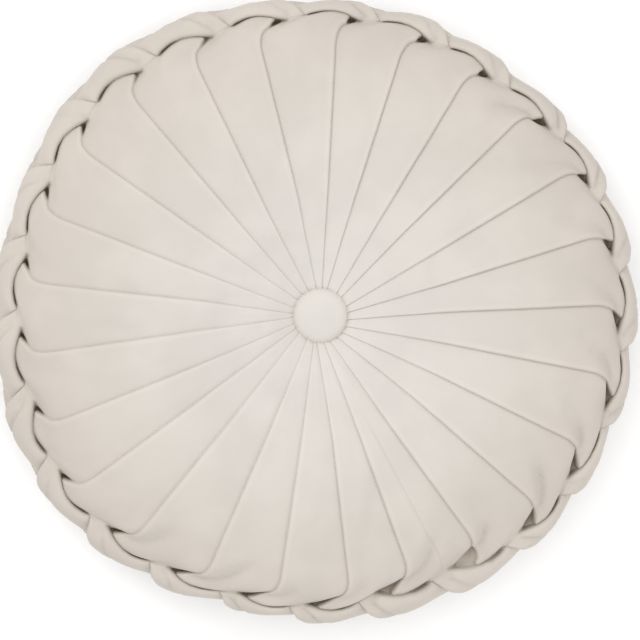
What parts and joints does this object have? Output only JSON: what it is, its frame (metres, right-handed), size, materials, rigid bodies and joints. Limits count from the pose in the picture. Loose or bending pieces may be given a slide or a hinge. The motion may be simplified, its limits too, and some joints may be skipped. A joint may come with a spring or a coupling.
{
  "type": "round pleated cushion",
  "caption": "Round filled cushion in ivory velvet, knife-pleated from a covered button on each face to a braided, smocked rim.",
  "frame": {"origin": "on the surface it lies on, under the middle of its box", "axes": "+Z from the back to the front face, through the buttons; +Y towards the top of the front as pictured; +X to its right"},
  "size_m": [0.4012, 0.3942, 0.1095],
  "materials": {
    "velvet": "matt short-pile velvet, ivory"
  },
  "bodies": {
    "root": {"cushion": "velvet", "button_front": "velvet", "button_back": "velvet"}
  },
  "joints": []
}
